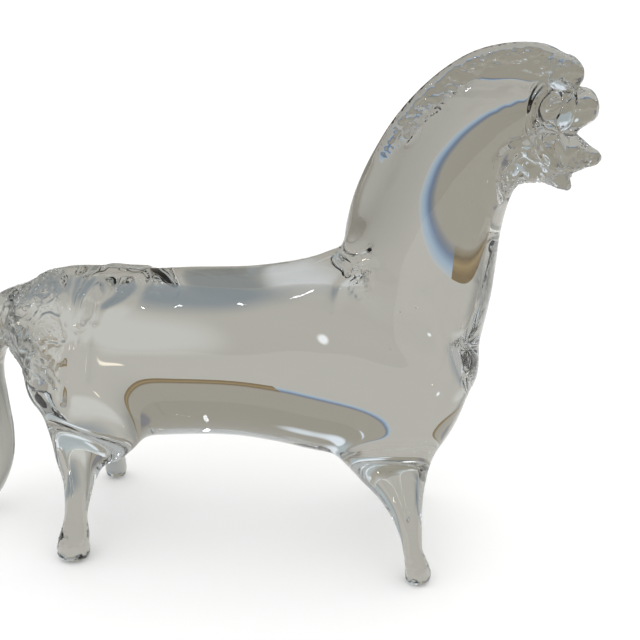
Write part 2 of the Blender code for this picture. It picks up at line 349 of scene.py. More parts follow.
def all_gathers():
    bm = bmesh.new()
    half = BARREL_WIDTH / 2
    gather(bm, "barrel", [
        (x, 0, widest, widest - belly, back - widest, share * half)
        for x, back, widest, belly, share in BARREL
    ], upright=True)
    half = NECK_WIDTH / 2
    gather(bm, "neck", [
        (x, 0, z, depth, CREST_SHARE * depth, share * half) for x, z, depth, share in NECK
    ], lean=NECK_LEAN, wedge=WEDGE, ease=NECK_EASE)
    half, half_thick = MANE_WIDTH / 2, MANE_THICKNESS / 2
    gather(bm, "mane", [
        (x, MANE_SHIFT, z, wide * half + MANE_ROOT, wide * half, thick * half_thick)
        for x, z, wide, thick in MANE
    ], power=RIBBON)
    half = TAIL_THICKNESS / 2
    gather(bm, "tail", [(x, 0, z, deep * half, wide * half) for x, z, deep, wide in TAIL])
    for name, drawing in (("muzzle", MUZZLE), ("cheek", CHEEK), ("jaw", JAW), ("beard", BEARD)):
        gather(bm, name, [(x, 0, z, deep, wide) for x, z, deep, wide in drawing])
    ears(bm)
    gather(bm, "leg", leg_stations(HIND_LEG, HIND_STANCE, -1, 0, 1))
    gather(bm, "leg", leg_stations(HIND_LEG, HIND_STANCE, 1, FAR_HIND_SHIFT, FAR_HIND_SLIM))
    gather(bm, "leg", leg_stations(FORE_LEG, FORE_STANCE, -1, 0, 1))
    gather(bm, "leg", leg_stations(FORE_LEG, FORE_STANCE, 1, FAR_FORE_SHIFT, 1))
    mesh = bpy.data.meshes.new("gathers")
    bm.to_mesh(mesh)
    bm.free()
    return mesh


gathers = all_gathers()
print("gathers:", len(gathers.polygons), "faces")

# %% [markdown]
# ## Fusing and fire polish
# Hot gathers melt into one skin, and reheating rounds every hollow between them. A voxel remesh fuses
# the overlapping tubes, and the Smooth modifier stands for the fire: it flows most on the thick body
# and hardly at all on the small head and feet. A second, shorter polish goes over the flanks of the
# neck alone. The grid has to be fine, because glass shows every facet as a bend in what lies behind.

# %% Fusing the gathers
VOXEL = 1.5
FLOW = 6.8  # how far the fire polish rounds a hollow between two gathers
NECK_FLOW = 3.2
SPLIT_FLOW = 0.9  # just enough to hide where the grid was split
# from no flow to full flow: height over the floor, and distance from the middle of the head
FEET_FLOW = (30, 62)
HEAD_FLOW = (18, 36)
# x from the tail inwards, distance from the line of the crest, and the least share that flows there
TAIL_FLOW, TAIL_LEAST = (-162, -142), 0.15
MANE_FLOW, MANE_LEAST = (8, 17), 0.20


def bake(obj):
    """Applies the modifiers of an object, as a menu command would."""
    bpy.context.view_layer.update()
    evaluated = obj.evaluated_get(bpy.context.evaluated_depsgraph_get())
    mesh = bpy.data.meshes.new_from_object(evaluated)
    obj.modifiers.clear()
    obj.data = mesh


def spots_of(obj):
    """The places of an object's corners, in drawing millimetres, as an array."""
    flat = np.empty(len(obj.data.vertices) * 3, np.float32)
    obj.data.vertices.foreach_get("co", flat)
    return flat.reshape(-1, 3).astype(float) / MM


def move_to(obj, spots):
    obj.data.vertices.foreach_set("co", (spots * MM).astype(np.float32).ravel())
    obj.data.update()


horse = bpy.data.objects.new("crystal_horse_skin", gathers)
bpy.context.scene.collection.objects.link(horse)
remesh = horse.modifiers.new("fuse", "REMESH")
remesh.mode = "VOXEL"
remesh.voxel_size = VOXEL * MM
bake(horse)
print("fused skin:", len(horse.data.polygons), "faces")


# %% Measuring from a drawn line
def from_line(spots, line):
    """How far each spot lies from a line drawn on the side view, and how far along the line."""
    gap = np.full(len(spots), np.inf)
    along = np.zeros(len(spots))
    run = 0.0
    for start, end in zip(line, line[1:]):
        start, step = np.array(start, float), np.subtract(end, start).astype(float)
        length = np.linalg.norm(step)
        offset = spots[:, [0, 2]] - start
        share = np.clip(offset @ step / length**2, 0, 1)
        here = np.linalg.norm(offset - share[:, None] * step, axis=1)
        nearer = here < gap
        gap[nearer] = here[nearer]
        along[nearer] = run + share[nearer] * length
        run += length
    return gap, along


# %% The fire polish
def smoothstep(low, high, value):
    t = np.clip((value - low) / (high - low), 0, 1)
    return t * t * (3 - 2 * t)


def sleek_neck(spots):
    """1 on the flanks of the neck, where the smallest kink would show in the bent light."""
    gap, _ = from_line(spots, [(x, z) for x, z, _, _ in NECK[3:-2]])
    off_head = smoothstep(33, 38, np.linalg.norm(spots - HEAD_MIDDLE, axis=1))
    return (1 - smoothstep(15, 21, gap)) * off_head


def flow_weights(spots):
    """How freely each spot flowed in the fire, from 0 to 1."""
    off_feet = smoothstep(*FEET_FLOW, spots[:, 2])
    off_head = smoothstep(*HEAD_FLOW, np.linalg.norm(spots - HEAD_MIDDLE, axis=1))
    off_tail = TAIL_LEAST + (1 - TAIL_LEAST) * smoothstep(*TAIL_FLOW, spots[:, 0])
    crest = through(MANE[1:], 2.0)[:, :2]
    from_crest = np.hypot(np.linalg.norm(spots[:, None, ::2] - crest, axis=2).min(1), spots[:, 1])
    off_mane = MANE_LEAST + (1 - MANE_LEAST) * smoothstep(*MANE_FLOW, from_crest)
    return np.clip(off_feet * off_head, 0.05, 1) * off_tail * off_mane


def polish(obj, weights, reach):
    """Smooths the skin over that reach, in millimetres, where the weights say."""
    group = obj.vertex_groups.new(name="flow")
    for index, weight in enumerate(weights.tolist()):
        group.add([index], weight, "REPLACE")
    smooth = obj.modifiers.new("fire_polish", "SMOOTH")
    smooth.factor = 0.5
    smooth.iterations = round(4 * (reach / VOXEL) ** 2)
    smooth.vertex_group = group.name
    bake(obj)
    obj.vertex_groups.clear()


polish(horse, flow_weights(spots_of(horse)), FLOW)
polish(horse, sleek_neck(spots_of(horse)), NECK_FLOW)
spots = spots_of(horse)
skin_low, skin_high = spots.min(0), spots.max(0)
print("the polished skin spans, mm:", skin_low.round(1), skin_high.round(1))

# %% [markdown]
# ## Where tools touched the glass
# Hot glass keeps the mark of each tool: pincers leave cross ridges on the mane, the pull of the tail
# crumples the rump, and a rod presses the eye sockets and the jaw. Marks are drawn as they lie on the
# near side, in X and Z, and pressed in along the skin's own normals. The mesh is split once more
# where there are marks, so the plain body stays light.

# %% Ovals and normals
def in_oval(spots, oval):
    """1 on the edge of an oval of middle x and z, half length, half width and lean, less inside."""
    x, z, long, wide, lean = oval
    turn = math.radians(lean)
    right, up = spots[:, 0] - x, spots[:, 2] - z
    lengthwise = right * math.sin(turn) + up * math.cos(turn)
    crosswise = right * math.cos(turn) - up * math.sin(turn)
    return np.hypot(lengthwise / long, crosswise / wide)


def normals_of(obj):
    flat = np.empty(len(obj.data.vertices) * 3, np.float32)
    obj.data.vertex_normals.foreach_get("vector", flat)
    return flat.reshape(-1, 3).astype(float)


# %% Where the marks lie
MANE_BAND = [
    (26, 181), (30.5, 188.5), (40.7, 201.3), (54.5, 214.9),
    (62.4, 220.2), (74.2, 225.9), (86, 227), (96, 222),
]
BAND_REACH = 4.6
CHIN = [(86, 176.5), (106, 176.5)]
RUMP_EDGE = [(-116, 126), (-110.5, 116), (-107.5, 104), (-111, 92), (-113, 78)]
# oval of middle x and z, half length, half width and lean in degrees, and how strongly it is crumpled
CRUMPLED = {
    "poll": ((99.5, 221, 8, 8, 0), 1.0),
    "jaw_tip": ((110.5, 186, 5.5, 5, 0), 1.6),
    "jowl": ((82, 177, 8, 7.5, 0), 0.8),
    "withers": ((20, 131, 8, 7, 0), 0.45),
}
MANE_CRUMPLE = 0.85
FEET_CRUMPLE = 0.25
CHIN_RIDGES = 4  # times as deep as those of the mane
CHIN_SLANT = 0.8
HEAD_REACH = 34  # from the middle of the head, all of which needs the finer grid


def near_side(spots, far=0.25):
    """1 on the side that the glassworker turned to the light, less on the plainer far side."""
    return far + (1 - far) * smoothstep(3, -3, spots[:, 1])


def rump_mask(spots):
    """How strongly the pull of the tail crumpled the rump, from 0 to 1."""
    x, z = spots[:, 0], spots[:, 2]
    edge = np.interp(z, [row[1] for row in RUMP_EDGE[::-1]], [row[0] for row in RUMP_EDGE[::-1]])
    rump = smoothstep(0, 5, edge - x) * smoothstep(74, 86, z) * (1 - smoothstep(-146, -156, x))
    return rump * near_side(spots)


def crumple_mask(spots):
    """How strongly the small crumples of head, mane, withers and feet show, from 0 to 1."""
    mask = np.zeros(len(spots))
    for oval, strength in CRUMPLED.values():
        mask = np.maximum(mask, strength * (1 - smoothstep(0.6, 1.1, in_oval(spots, oval))))
    gap, along = from_line(spots, MANE_BAND)
    mane = MANE_CRUMPLE * (1 - smoothstep(0.6 * BAND_REACH, BAND_REACH, gap)) * smoothstep(6, 20, along)
    feet = FEET_CRUMPLE * (1 - smoothstep(9, 14, spots[:, 2])) * smoothstep(1, 3, spots[:, 2])
    return np.maximum(mask, np.maximum(mane, feet)) * near_side(spots)


def ridge_mask(spots):
    """How strongly pincers ridged the mane and the chin, and how far along them each spot lies."""
    gap, along = from_line(spots, MANE_BAND)
    band = (1 - smoothstep(0.7 * BAND_REACH, BAND_REACH, gap)) * smoothstep(0, 8, along)
    band *= 1 - 0.7 * smoothstep(42, 60, along)
    gap, below = from_line(spots, CHIN)
    chin = CHIN_RIDGES * (1 - smoothstep(3, 5, gap))
    slanted = below + CHIN_SLANT * (spots[:, 2] - CHIN[0][1])
    return np.maximum(band, chin), np.where(chin > 0, slanted, along)


def marked(spots):
    """Where the mesh has to be finer."""
    head = np.linalg.norm(spots - HEAD_MIDDLE, axis=1) < HEAD_REACH
    tooled = crumple_mask(spots) + rump_mask(spots) + ridge_mask(spots)[0] > 0.02
    return head | tooled


def split_marked(obj):
    """Halves the grid of the skin where there are marks."""
    tagged = marked(spots_of(obj))
    bm = bmesh.new()
    bm.from_mesh(obj.data)
    bm.verts.ensure_lookup_table()
    edges = [edge for edge in bm.edges if tagged[edge.verts[0].index] and tagged[edge.verts[1].index]]
    bmesh.ops.subdivide_edges(bm, edges=edges, cuts=1, use_grid_fill=True)
    bm.to_mesh(obj.data)
    bm.free()


split_marked(horse)
polish(horse, np.ones(len(horse.data.vertices)), SPLIT_FLOW)
print("skin with its marked spots split:", len(horse.data.polygons), "faces")

# %% Pressing the face and drawing the creases
# oval, depth, height of the rim squeezed up around it; below 0 raises
PRESSED = {
    "eye_socket": ((96.0, 206, 10.2, 7.6, 18), 3.0, 1.0),
    "eye": ((97.5, 207, 4.0, 1.6, 50), -1.3, 0.0),
    "jaw_facet": ((96.4, 189, 7.6, 4.6, -38), 1.3, 0.7),
    "nostril": ((107.6, 208.6, 2.6, 1.3, -60), 0.9, 0.2),
    "cheek_hollow": ((87.5, 199, 8.0, 3.2, 10), 0.8, 0.0),
}
# line, half width, depth
CREASES = {
    "jowl": ([(76, 166.5), (73.6, 175), (74.5, 184.2), (77.9, 189.5), (83, 191.6), (89.3, 191)],
             1.8, -1.3),
    "jowl_hollow": ([(79, 171), (78.5, 177), (81, 183), (86, 186), (93, 182)], 2.8, 2.2),
    "jaw_line": ([(89.1, 194.1), (94.3, 188), (99.7, 182.5), (106.1, 181.3)], 1.2, -0.8),
    "withers": ([(8.8, 121), (10.9, 130.5), (15.9, 134.7), (24.7, 138.4)], 1.8, 1.3),
    "rump_fold": ([(-118.5, 124), (-112, 116), (-108.5, 104), (-113, 92), (-114, 74)], 2.4, -0.9),
    "hip_ring": ([(-103.5, 112), (-102.8, 119.7), (-99, 125.5), (-91, 127.5), (-83, 127), (-80.5, 124),
                  (-84.4, 119.5), (-90, 117)], 2.6, -1.7),
    "hip_hollow": ([(-97, 113), (-96, 119), (-90, 122.5)], 2.4, 1.3),
}
RIM_PLACE, RIM_WIDTH = 1.12, 0.13  # of an oval's rim, in shares of the oval
BACK_WAVE = 0.30  # the swell that the tools left along the back
BACK_WAVE_LENGTH = 46


def press(obj):
    spots, normals = spots_of(obj), normals_of(obj)
    flank = smoothstep(0.05, 0.35, np.abs(normals[:, 1])) * near_side(spots, 0.8)
    swell = np.sin(spots[:, 0] * math.tau / BACK_WAVE_LENGTH)
    sunk = BACK_WAVE * smoothstep(98, 112, spots[:, 2]) * swell
    sunk *= 1 - smoothstep(0, 20, spots[:, 0])
    for oval, depth, rim in PRESSED.values():
        edge = in_oval(spots, oval)
        sunk += depth * (1 - smoothstep(0.55, 1.0, edge))
        sunk -= rim * np.exp(-((edge - RIM_PLACE) / RIM_WIDTH) ** 2)
    for line, width, depth in CREASES.values():
        gap, _ = from_line(spots, line)
        sunk += depth * np.exp(-((gap / width) ** 2))
    move_to(obj, spots - normals * (sunk * flank)[:, None])
    print("pressed in by at most", round(float((sunk * flank).max()), 2), "mm")


press(horse)

# %% [markdown]
# ## Crystal
# The real one is clear crystal glass, fire-polished: it has no colour of its own beyond a faint grey,
# and its look is all in how it bends and mirrors the room. A Principled shader with full transmission
# does that by itself.

# %% Making the crystal
REFRACTIVE_INDEX = 1.52


def crystal():
    material = bpy.data.materials.new("fire_polished_crystal")
    material.use_nodes = True
    shader = material.node_tree.nodes["Principled BSDF"]
    shader.inputs["Base Color"].default_value = linear("#fbfbf9")
    shader.inputs["Roughness"].default_value = 0.0
    shader.inputs["IOR"].default_value = REFRACTIVE_INDEX
    shader.inputs["Transmission Weight"].default_value = 1.0
    return material


fire_polished_crystal = crystal()
print(fire_polished_crystal.name, "with a refractive index of", REFRACTIVE_INDEX)

# %% [markdown]
# ## Ridges and crumples by rule
# The pincers' ridges follow the mane at an even spacing that wanders, and a crumple is a folded noise.
# Both are rules over the surface, so a Geometry Nodes tree draws them: it moves each point along its
# normal by what two painted masks allow. Its sizes are named inputs.

# %% The tree of tool marks
WANDER_PER_METRE = 140.0  # the spacing of the ridges wanders about every 7 mm
WANDER = 3.0  # ridges, at most
FOLD_GAIN = 5.0  # brings the folded noise to a depth of about 1


def pincer_marks_tree():
    tree = bpy.data.node_groups.new("pincer_marks", "GeometryNodeTree")
    tree.interface.new_socket("Geometry", in_out="INPUT", socket_type="NodeSocketGeometry")
    tree.interface.new_socket("Geometry", in_out="OUTPUT", socket_type="NodeSocketGeometry")
    for name in ("Ridge Spacing", "Ridge Depth", "Crumple Size", "Crumple Depth"):
        tree.interface.new_socket(name, in_out="INPUT", socket_type="NodeSocketFloat")
    tree.interface.new_socket("Glass", in_out="INPUT", socket_type="NodeSocketMaterial")
    given = add_node(tree, "NodeGroupInput").outputs
    masks = {}
    for name in ("ridged", "along", "crumpled"):
        mask = add_node(tree, "GeometryNodeInputNamedAttribute", [(name, "Name")], data_type="FLOAT")
        masks[name] = mask.outputs[0]
    place = add_node(tree, "GeometryNodeInputPosition").outputs[0]
    wander = add_node(tree, "ShaderNodeTexNoise", [
        (place, "Vector"),
        (WANDER_PER_METRE, "Scale"),
        (2.0, "Detail"),
    ])
    turns = add_node(tree, "ShaderNodeMath", [
        (masks["along"], 0),
        (given["Ridge Spacing"], 1),
    ], operation="DIVIDE")
    phase = add_node(tree, "ShaderNodeMath", [
        (wander.outputs[0], 0),
        (WANDER, 1),
        (turns.outputs[0], 2),
    ], operation="MULTIPLY_ADD")
    angle = add_node(tree, "ShaderNodeMath", [(phase.outputs[0], 0), (math.tau, 1)], operation="MULTIPLY")
    wave = add_node(tree, "ShaderNodeMath", [(angle.outputs[0], 0)], operation="SINE")
    ridges = add_node(tree, "ShaderNodeMath", [
        (wave.outputs[0], 0),
        (0.5, 1),
        (0.5, 2),
    ], operation="MULTIPLY_ADD")
    for factor in (given["Ridge Depth"], masks["ridged"]):
        ridges = add_node(tree, "ShaderNodeMath", [(ridges.outputs[0], 0), (factor, 1)], operation="MULTIPLY")
    scale = add_node(tree, "ShaderNodeMath", [(1.0, 0), (given["Crumple Size"], 1)], operation="DIVIDE")
    noise = add_node(tree, "ShaderNodeTexNoise", [
        (place, "Vector"),
        (scale.outputs[0], "Scale"),
        (1.6, "Detail"),
        (0.8, "Distortion"),
    ]).outputs[0]
    swing = add_node(tree, "ShaderNodeMath", [(noise, 0), (0.5, 1)], operation="SUBTRACT")
    folds = add_node(tree, "ShaderNodeMath", [(swing.outputs[0], 0)], operation="ABSOLUTE")
    folds = add_node(tree, "ShaderNodeMath", [(folds.outputs[0], 0), (FOLD_GAIN, 1)], operation="MULTIPLY")
    for factor in (given["Crumple Depth"], masks["crumpled"]):
        folds = add_node(tree, "ShaderNodeMath", [(folds.outputs[0], 0), (factor, 1)], operation="MULTIPLY")
    sunk = add_node(tree, "ShaderNodeMath", [(ridges.outputs[0], 0), (folds.outputs[0], 1)], operation="ADD")
    inward = add_node(tree, "ShaderNodeMath", [(sunk.outputs[0], 0), (-1.0, 1)], operation="MULTIPLY")
    normal = add_node(tree, "GeometryNodeInputNormal").outputs[0]
    offset = add_node(tree, "ShaderNodeVectorMath", [
        (normal, 0),
        (inward.outputs[0], "Scale"),
    ], operation="SCALE")
    moved = add_node(tree, "GeometryNodeSetPosition", [
        (given["Geometry"], "Geometry"),
        (offset.outputs[0], "Offset"),
    ])
    real = add_node(tree, "GeometryNodeRealizeInstances", [(moved.outputs[0], "Geometry")])
    glass = add_node(tree, "GeometryNodeSetMaterial", [
        (real.outputs[0], "Geometry"),
        (given["Glass"], "Material"),
    ])
    add_node(tree, "NodeGroupOutput", [(glass.outputs[0], 0)])
    return tree


def run_tree(obj, tree, values):
    """Runs a tree on an object with values for its named inputs, and keeps the mesh that it makes."""
    modifier = obj.modifiers.new(tree.name, "NODES")
    modifier.node_group = tree
    for item in tree.interface.items_tree:
        if item.item_type == "SOCKET" and item.in_out == "INPUT" and item.name in values:
            modifier[item.identifier] = values[item.name]
    bake(obj)


# %% Ridging the mane and crumpling the rump
def paint(obj, name, values):
    layer = obj.data.attributes.new(name, "FLOAT", "POINT")
    layer.data.foreach_set("value", values.astype(np.float32))


RIDGE_SPACING = 2.4
# mask of the crumples, their size and depth, and the depth of the ridges, in millimetres
PASSES = [
    (rump_mask, 10.0, 2.0, 0.0),
    (crumple_mask, 4.5, 1.5, 0.15),
]
tool_marks = pincer_marks_tree()
for mask, size, depth, ridge_depth in PASSES:
    spots = spots_of(horse)
    ridged, along = ridge_mask(spots)
    paint(horse, "ridged", ridged * near_side(spots))
    paint(horse, "along", along * MM)
    paint(horse, "crumpled", mask(spots))
    run_tree(horse, tool_marks, {
        "Ridge Spacing": RIDGE_SPACING * MM,
        "Ridge Depth": ridge_depth * MM,
        "Crumple Size": size * MM,
        "Crumple Depth": depth * MM,
        "Glass": fire_polished_crystal,
    })
    for name in ("ridged", "along", "crumpled"):
        horse.data.attributes.remove(horse.data.attributes[name])
    moved = np.linalg.norm(spots_of(horse) - spots, axis=1)
    print(mask.__name__, "moved the skin by at most", round(float(moved.max()), 2), "mm")

# %% [markdown]
# ## Air sealed in the glass
# A gather always traps a few specks of air. They are tiny, so they are strewn by rule: points on the
# flanks, sunk by a random depth, each with a little sphere whose faces look into the air.

# %% Sealing the air seeds
def air_seeds_tree():
    tree = bpy.data.node_groups.new("air_seeds", "GeometryNodeTree")
    tree.interface.new_socket("Geometry", in_out="INPUT", socket_type="NodeSocketGeometry")
    tree.interface.new_socket("Geometry", in_out="OUTPUT", socket_type="NodeSocketGeometry")
    for name in ("Per Square Metre", "Smallest", "Largest", "Shallowest", "Deepest", "Off Middle"):
        tree.interface.new_socket(name, in_out="INPUT", socket_type="NodeSocketFloat")
    tree.interface.new_socket("Glass", in_out="INPUT", socket_type="NodeSocketMaterial")
    given = add_node(tree, "NodeGroupInput").outputs
    place = add_node(tree, "GeometryNodeInputPosition").outputs[0]
    across = add_node(tree, "ShaderNodeSeparateXYZ", [(place, 0)]).outputs["Y"]
    off = add_node(tree, "ShaderNodeMath", [(across, 0)], operation="ABSOLUTE")
    wide = add_node(tree, "ShaderNodeMath", [
        (off.outputs[0], 0),
        (given["Off Middle"], 1),
    ], operation="GREATER_THAN")
    strewn = add_node(tree, "GeometryNodeDistributePointsOnFaces", [
        (given["Geometry"], "Mesh"),
        (wide.outputs[0], "Selection"),
        (given["Per Square Metre"], "Density"),
        (11, "Seed"),
    ])
    depth = add_node(tree, "FunctionNodeRandomValue", [
        (given["Shallowest"], 2), (given["Deepest"], 3), (5, "Seed"),
    ], data_type="FLOAT").outputs[1]
    inward = add_node(tree, "ShaderNodeMath", [(depth, 0), (-1.0, 1)], operation="MULTIPLY")
    step = add_node(tree, "ShaderNodeVectorMath", [
        (strewn.outputs["Normal"], 0),
        (inward.outputs[0], "Scale"),
    ], operation="SCALE")
    sunk = add_node(tree, "GeometryNodeSetPosition", [
        (strewn.outputs["Points"], "Geometry"),
        (step.outputs[0], "Offset"),
    ])
    size = add_node(tree, "FunctionNodeRandomValue", [
        (given["Smallest"], 2), (given["Largest"], 3), (8, "Seed"),
    ], data_type="FLOAT").outputs[1]
    ball = add_node(tree, "GeometryNodeMeshIcoSphere", [(1.0, "Radius"), (3, "Subdivisions")])
    seeds = add_node(tree, "GeometryNodeInstanceOnPoints", [
        (sunk.outputs[0], "Points"),
        (ball.outputs["Mesh"], "Instance"),
        (size, "Scale"),
    ])
    real = add_node(tree, "GeometryNodeRealizeInstances", [(seeds.outputs[0], "Geometry")])
    inside_out = add_node(tree, "GeometryNodeFlipFaces", [(real.outputs[0], "Mesh")])
    whole = add_node(tree, "GeometryNodeJoinGeometry", [(given["Geometry"], 0)])
    tree.links.new(inside_out.outputs[0], whole.inputs[0])
    glass = add_node(tree, "GeometryNodeSetMaterial", [
        (whole.outputs[0], "Geometry"),
        (given["Glass"], "Material"),
    ])
    add_node(tree, "NodeGroupOutput", [(glass.outputs[0], 0)])
    return tree


SEED_CORNERS = 162  # of one little sphere
corners_before = len(horse.data.vertices)
run_tree(horse, air_seeds_tree(), {
    "Per Square Metre": 260.0,
    "Smallest": 0.15 * MM,
    "Largest": 0.42 * MM,
    "Shallowest": 3.0 * MM,
    "Deepest": 13.0 * MM,
    "Off Middle": 17.0 * MM,
    "Glass": fire_polished_crystal,
})
print("air seeds:", (len(horse.data.vertices) - corners_before) // SEED_CORNERS)

# %% [markdown]
# ## Standing in the frame
# The solid has its origin under the middle of its box and its feet ground flat at the floor. The skin
# is put in the same place. What is below the floor is pressed flat, as the grinding wheel left it, and
# no crumple stands out of the solid's box.

# %% Placing and grinding
spots = spots_of(horse)
centre = (HORSE_LOW + HORSE_HIGH) / 2 / MM
ORIGIN = np.array([
    (skin_low[0] + skin_high[0]) / 2 - centre[0],
    (skin_low[1] + skin_high[1]) / 2 - centre[1],
    skin_low[2] + FOOT_GRIND,
])
print("the frame's origin in the drawing, mm:", ORIGIN.round(2))
spots = spots - ORIGIN
spots = np.clip(spots, HORSE_LOW / MM, HORSE_HIGH / MM)
move_to(horse, spots)
horse.data.shade_smooth()
horse.data.calc_loop_triangles()
print("triangles in the skin:", len(horse.data.loop_triangles))

# %% [markdown]
# ## Even shading
# The grid of the remesh crosses the slanting flanks unevenly, so its normals waver a little. On plaster
# nobody would see that, but through the wedge of the neck it makes the table's edge ripple.
# So each normal of the plain skin is averaged with its neighbours' a few times over. Marks and creases
# keep the normals of their mesh.

# %% Evening the normals of the plain skin
NORMAL_ROUNDS = 14


def plainness(spots):
    """1 on skin without any mark, 0 on marks and creases."""
    plain = np.where(marked(spots), sleek_neck(spots), 1.0)
    for line, width, _ in CREASES.values():
        gap, _ = from_line(spots, line)
        plain = np.minimum(plain, smoothstep(2 * width, 4 * width, gap))
    return plain


def even_normals(obj, share):
    """Averages the shading normals with their neighbours', where the grid's own would waver."""
    ends = np.empty(len(obj.data.edges) * 2, np.int32)
    obj.data.edges.foreach_get("vertices", ends)
    one, other = ends.reshape(-1, 2).T
    count = np.bincount(ends, minlength=len(share))[:, None]
    normals = normals_of(obj)
    for _ in range(NORMAL_ROUNDS):
        summed = np.zeros_like(normals)
        np.add.at(summed, one, normals[other])
        np.add.at(summed, other, normals[one])
        normals += share[:, None] * (summed / count - normals)
        normals /= np.linalg.norm(normals, axis=1)[:, None]
    obj.data.normals_split_custom_set_from_vertices(normals)


plain_share = plainness(spots + ORIGIN)
even_normals(horse, plain_share)
print("corners with evened normals:", int((plain_share > 0).sum()))

# %% Riding in the frame
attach(horse, "root")
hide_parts(HORSE_NODE)

# %% [markdown]
# ## Studio
# A pale floor without edges stands for the sweep of paper, lit from a wide soft sky. Glass shows
# whatever lies around it, so the set also has what the lenses of neck and body should see: a light
# grey table top, a blue and a gilt band along its far edge, a taupe floor beyond it, and a quiet taupe
# room with pale windows. The table, its edge and the far floor are glowing sheets with their light
# painted in, and the table top carries the horse's painted shadows and painted caustics. Only light
# that has passed through the glass sees those.

# %% Floor
def flat_sheet(name, low, high, height, material):
    """A level rectangle of the set, between two corners in metres."""
    mesh = bpy.data.meshes.new(name)
    corners = [(low[0], low[1]), (high[0], low[1]), (high[0], high[1]), (low[0], high[1])]
    mesh.from_pydata([(x, y, height) for x, y in corners], [], [(0, 1, 2, 3)])
    mesh.materials.append(material)
    sheet = bpy.data.objects.new(name, mesh)
    bpy.context.scene.collection.objects.link(sheet)
    return sheet


def white_paper():
    material = bpy.data.materials.new("white_paper")
    material.use_nodes = True
    shader = material.node_tree.nodes["Principled BSDF"]
    shader.inputs["Base Color"].default_value = linear("#f7f7f6")
    shader.inputs["Roughness"].default_value = 0.8
    return material


FLOOR_HEIGHT = -0.0002
floor = flat_sheet("floor", (-8, -8), (8, 8), FLOOR_HEIGHT, white_paper())
floor.visible_transmission = False
print("floor, m:", tuple(round(side, 3) for side in floor.dimensions))

# %% Tones of the table, with painted shadows and painted caustics
TABLE_GREY = "#b1afa8"
TABLE_EDGE = 0.385
# middle x and y, half sizes in x and y, in metres, and the tone of the table there; some spots are painted
# shadow and painted light
TABLE_SHADE_LIGHT_AND_TONES = [
    (0.30, 0.17, 0.14, 0.60, "#a5a49e"),
    (0.215, 0.020, 0.065, 0.105, "#8b877e"),
    (0.275, 0.170, 0.030, 0.260, "#8b877e"),
    (-0.33, 0.17, 0.13, 0.50, "#8e8e89"),
    (-0.12, 0.185, 0.055, 0.045, "#c5c5c1"),
    # painted shadows on the table, under the horse's back and in front of the horse
    (-0.058, 0.088, 0.062, 0.040, "#858d92"),
    (-0.040, -0.072, 0.060, 0.026, "#858988"),
    # a painted pool of light on the table under the front of the horse, seen as highlights along the back
    (0.030, -0.060, 0.022, 0.030, "#c9cccd"),
    (0.050, -0.180, 0.060, 0.070, "#c6c7c6"),
    # painted caustics: small bright spots where light through the glass horse would fall on the table
    (-0.150, 0.262, 0.0012, 0.011, "#fff6e4"),
    (0.001, 0.188, 0.0025, 0.006, "#f2f6f8"),
]
FAR_TAUPE = "#969287"
FAR_TONES = [
    (0.12, 2.7, 0.045, 0.9, "#cfdbe4"),
]
SPOT_RIM = 0.45  # how soft the rim of a spot is, as a share of its size


def soft_spot(tree, under, place, spot):
    """Lays a soft-edged oval tone over a colour."""
    x, y, wide, deep, tone = spot
    local = add_node(tree, "ShaderNodeVectorMath", [(place, 0), ((x, y, 0), 1)], operation="SUBTRACT")
    local = add_node(tree, "ShaderNodeVectorMath", [
        (local.outputs[0], 0),
        ((1 / wide, 1 / deep, 0), 1),
    ], operation="MULTIPLY")
    reach = add_node(tree, "ShaderNodeVectorMath", [(local.outputs[0], 0)], operation="LENGTH")
    share = add_node(tree, "ShaderNodeMapRange", [
        (reach.outputs["Value"], "Value"),
        (1 + SPOT_RIM, "From Min"),
        (1 - SPOT_RIM, "From Max"),
    ], interpolation_type="SMOOTHSTEP")
    mix = add_node(tree, "ShaderNodeMix", [
        (share.outputs[0], 0),
        (under, 6),
        (linear(tone), 7),
    ], data_type="RGBA")
    return mix.outputs[2]


def spotted(tree, place, tone, spots):
    """An even tone with soft spots of other tones."""
    colour = linear(tone)
    for spot in spots:
        colour = soft_spot(tree, colour, place, spot)
    return colour


print("soft spots on the table:", len(TABLE_SHADE_LIGHT_AND_TONES))

# %% Tones of the table's edge
EDGE_DEPTH = 0.075
EDGE_SPLIT = -0.042  # the edge is gilt up to this x, and blue from there on
# share of the way across the edge band, and tone
BLUE_EDGE = [
    (0.0, "#b1b6b8"), (0.3, "#93a9bd"), (0.6, "#63738e"),
    (0.75, "#73797f"), (1.0, "#95918a"),
]
GILT_EDGE = [
    (0.0, "#706038"), (0.2, "#745f3c"), (0.45, "#927e55"),
    (0.68, "#66563a"), (0.8, "#7d7159"), (1.0, "#8f897a"),
]


def banded(tree, place, tones):
    """Tones that change across the edge band."""
    depth = add_node(tree, "ShaderNodeSeparateXYZ", [(place, 0)]).outputs["Y"]
    share = add_node(tree, "ShaderNodeMapRange", [
        (depth, "Value"),
        (TABLE_EDGE, "From Min"),
        (TABLE_EDGE + EDGE_DEPTH, "From Max"),
    ])
    ramp = add_node(tree, "ShaderNodeValToRGB", [(share.outputs[0], 0)])
    stops = ramp.color_ramp.elements
    while len(stops) < len(tones):
        stops.new(0.5)
    for stop, (position, tone) in zip(stops, tones):
        stop.position = position
        stop.color = linear(tone)
    return ramp.outputs[0]


print("edge band, m:", TABLE_EDGE, "to", TABLE_EDGE + EDGE_DEPTH)

